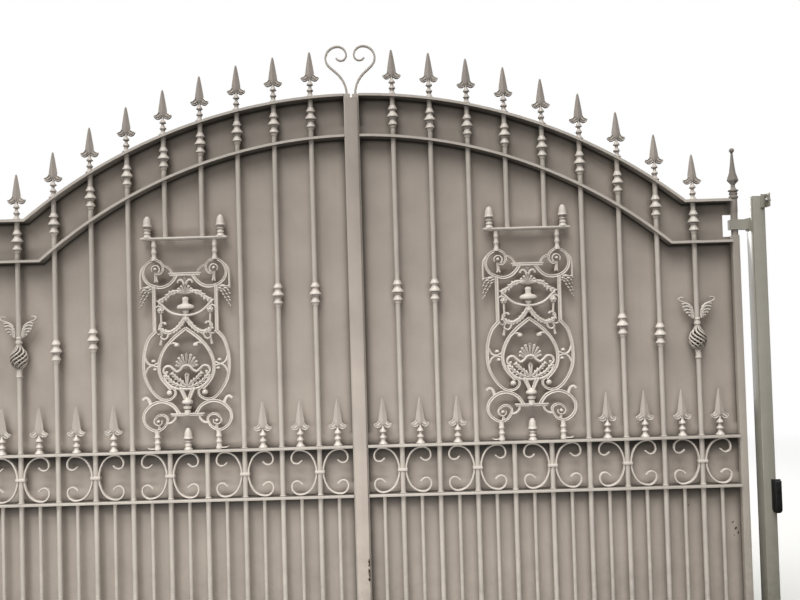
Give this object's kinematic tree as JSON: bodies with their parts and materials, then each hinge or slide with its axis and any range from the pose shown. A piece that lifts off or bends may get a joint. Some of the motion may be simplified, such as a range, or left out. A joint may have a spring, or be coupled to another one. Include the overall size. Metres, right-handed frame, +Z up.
{
  "type": "wrought iron driveway gate",
  "caption": "Arched pair of hinged driveway gate leaves with railheads, scroll band, cast panels and a backing sheet, hung between two steel posts.",
  "frame": {"origin": "centre of the right post's foot, on the ground", "axes": "+X to the right along the closed gate, +Y away from the road, towards which the leaves open, +Z up"},
  "size_m": [3.298, 0.143, 2.4783],
  "materials": {
    "steel_paint": "satin warm grey paint",
    "casting_paint": "satin warm grey paint on cast iron",
    "sheet_paint": "satin warm grey paint on sheet",
    "post_paint": "satin grey paint",
    "cell_plastic": "black moulded housing"
  },
  "bodies": {
    "posts": {"right_post": "post_paint", "left_post": "post_paint", "right_strap": "post_paint", "left_strap": "post_paint", "right_heel": "post_paint", "left_heel": "post_paint", "right_cleats": "post_paint", "left_cleats": "post_paint", "right_photocell": "cell_plastic", "left_photocell": "cell_plastic"},
    "right_leaf": {"right_hinge_stile": "steel_paint", "right_meeting_stile": "steel_paint", "right_top_rail": "steel_paint", "right_arch_rail": "steel_paint", "right_mid_rail": "steel_paint", "right_low_rail": "steel_paint", "right_bottom_rail": "steel_paint", "right_full_bars": "steel_paint", "right_short_bars": "steel_paint", "right_sheet": "sheet_paint", "right_scroll_band": "steel_paint", "right_railheads": "casting_paint", "right_band_heads": "casting_paint", "right_collars": "casting_paint", "right_basket": "casting_paint", "right_cast_panel": "casting_paint", "right_top_scroll": "steel_paint"},
    "left_leaf": {"left_hinge_stile": "steel_paint", "left_meeting_stile": "steel_paint", "left_top_rail": "steel_paint", "left_arch_rail": "steel_paint", "left_mid_rail": "steel_paint", "left_low_rail": "steel_paint", "left_bottom_rail": "steel_paint", "left_full_bars": "steel_paint", "left_short_bars": "steel_paint", "left_sheet": "sheet_paint", "left_scroll_band": "steel_paint", "left_railheads": "casting_paint", "left_band_heads": "casting_paint", "left_collars": "casting_paint", "left_basket": "casting_paint", "left_cast_panel": "casting_paint", "left_top_scroll": "steel_paint", "closing_bar": "steel_paint"}
  },
  "joints": [
    {"name": "left_hinge", "type": "hinge", "parent": "posts", "child": "left_leaf", "pos_m": [-3.14, 0.02, 0.866], "axis": [0, 0, 1], "range_deg": [0, 90]},
    {"name": "right_hinge", "type": "hinge", "parent": "posts", "child": "right_leaf", "pos_m": [-0.08, 0.02, 0.866], "axis": [0, 0, 1], "range_deg": [-90, 0]}
  ],
  "couplings": [
    {"joint": "right_hinge", "follows": "left_hinge", "ratio": -1}
  ]
}
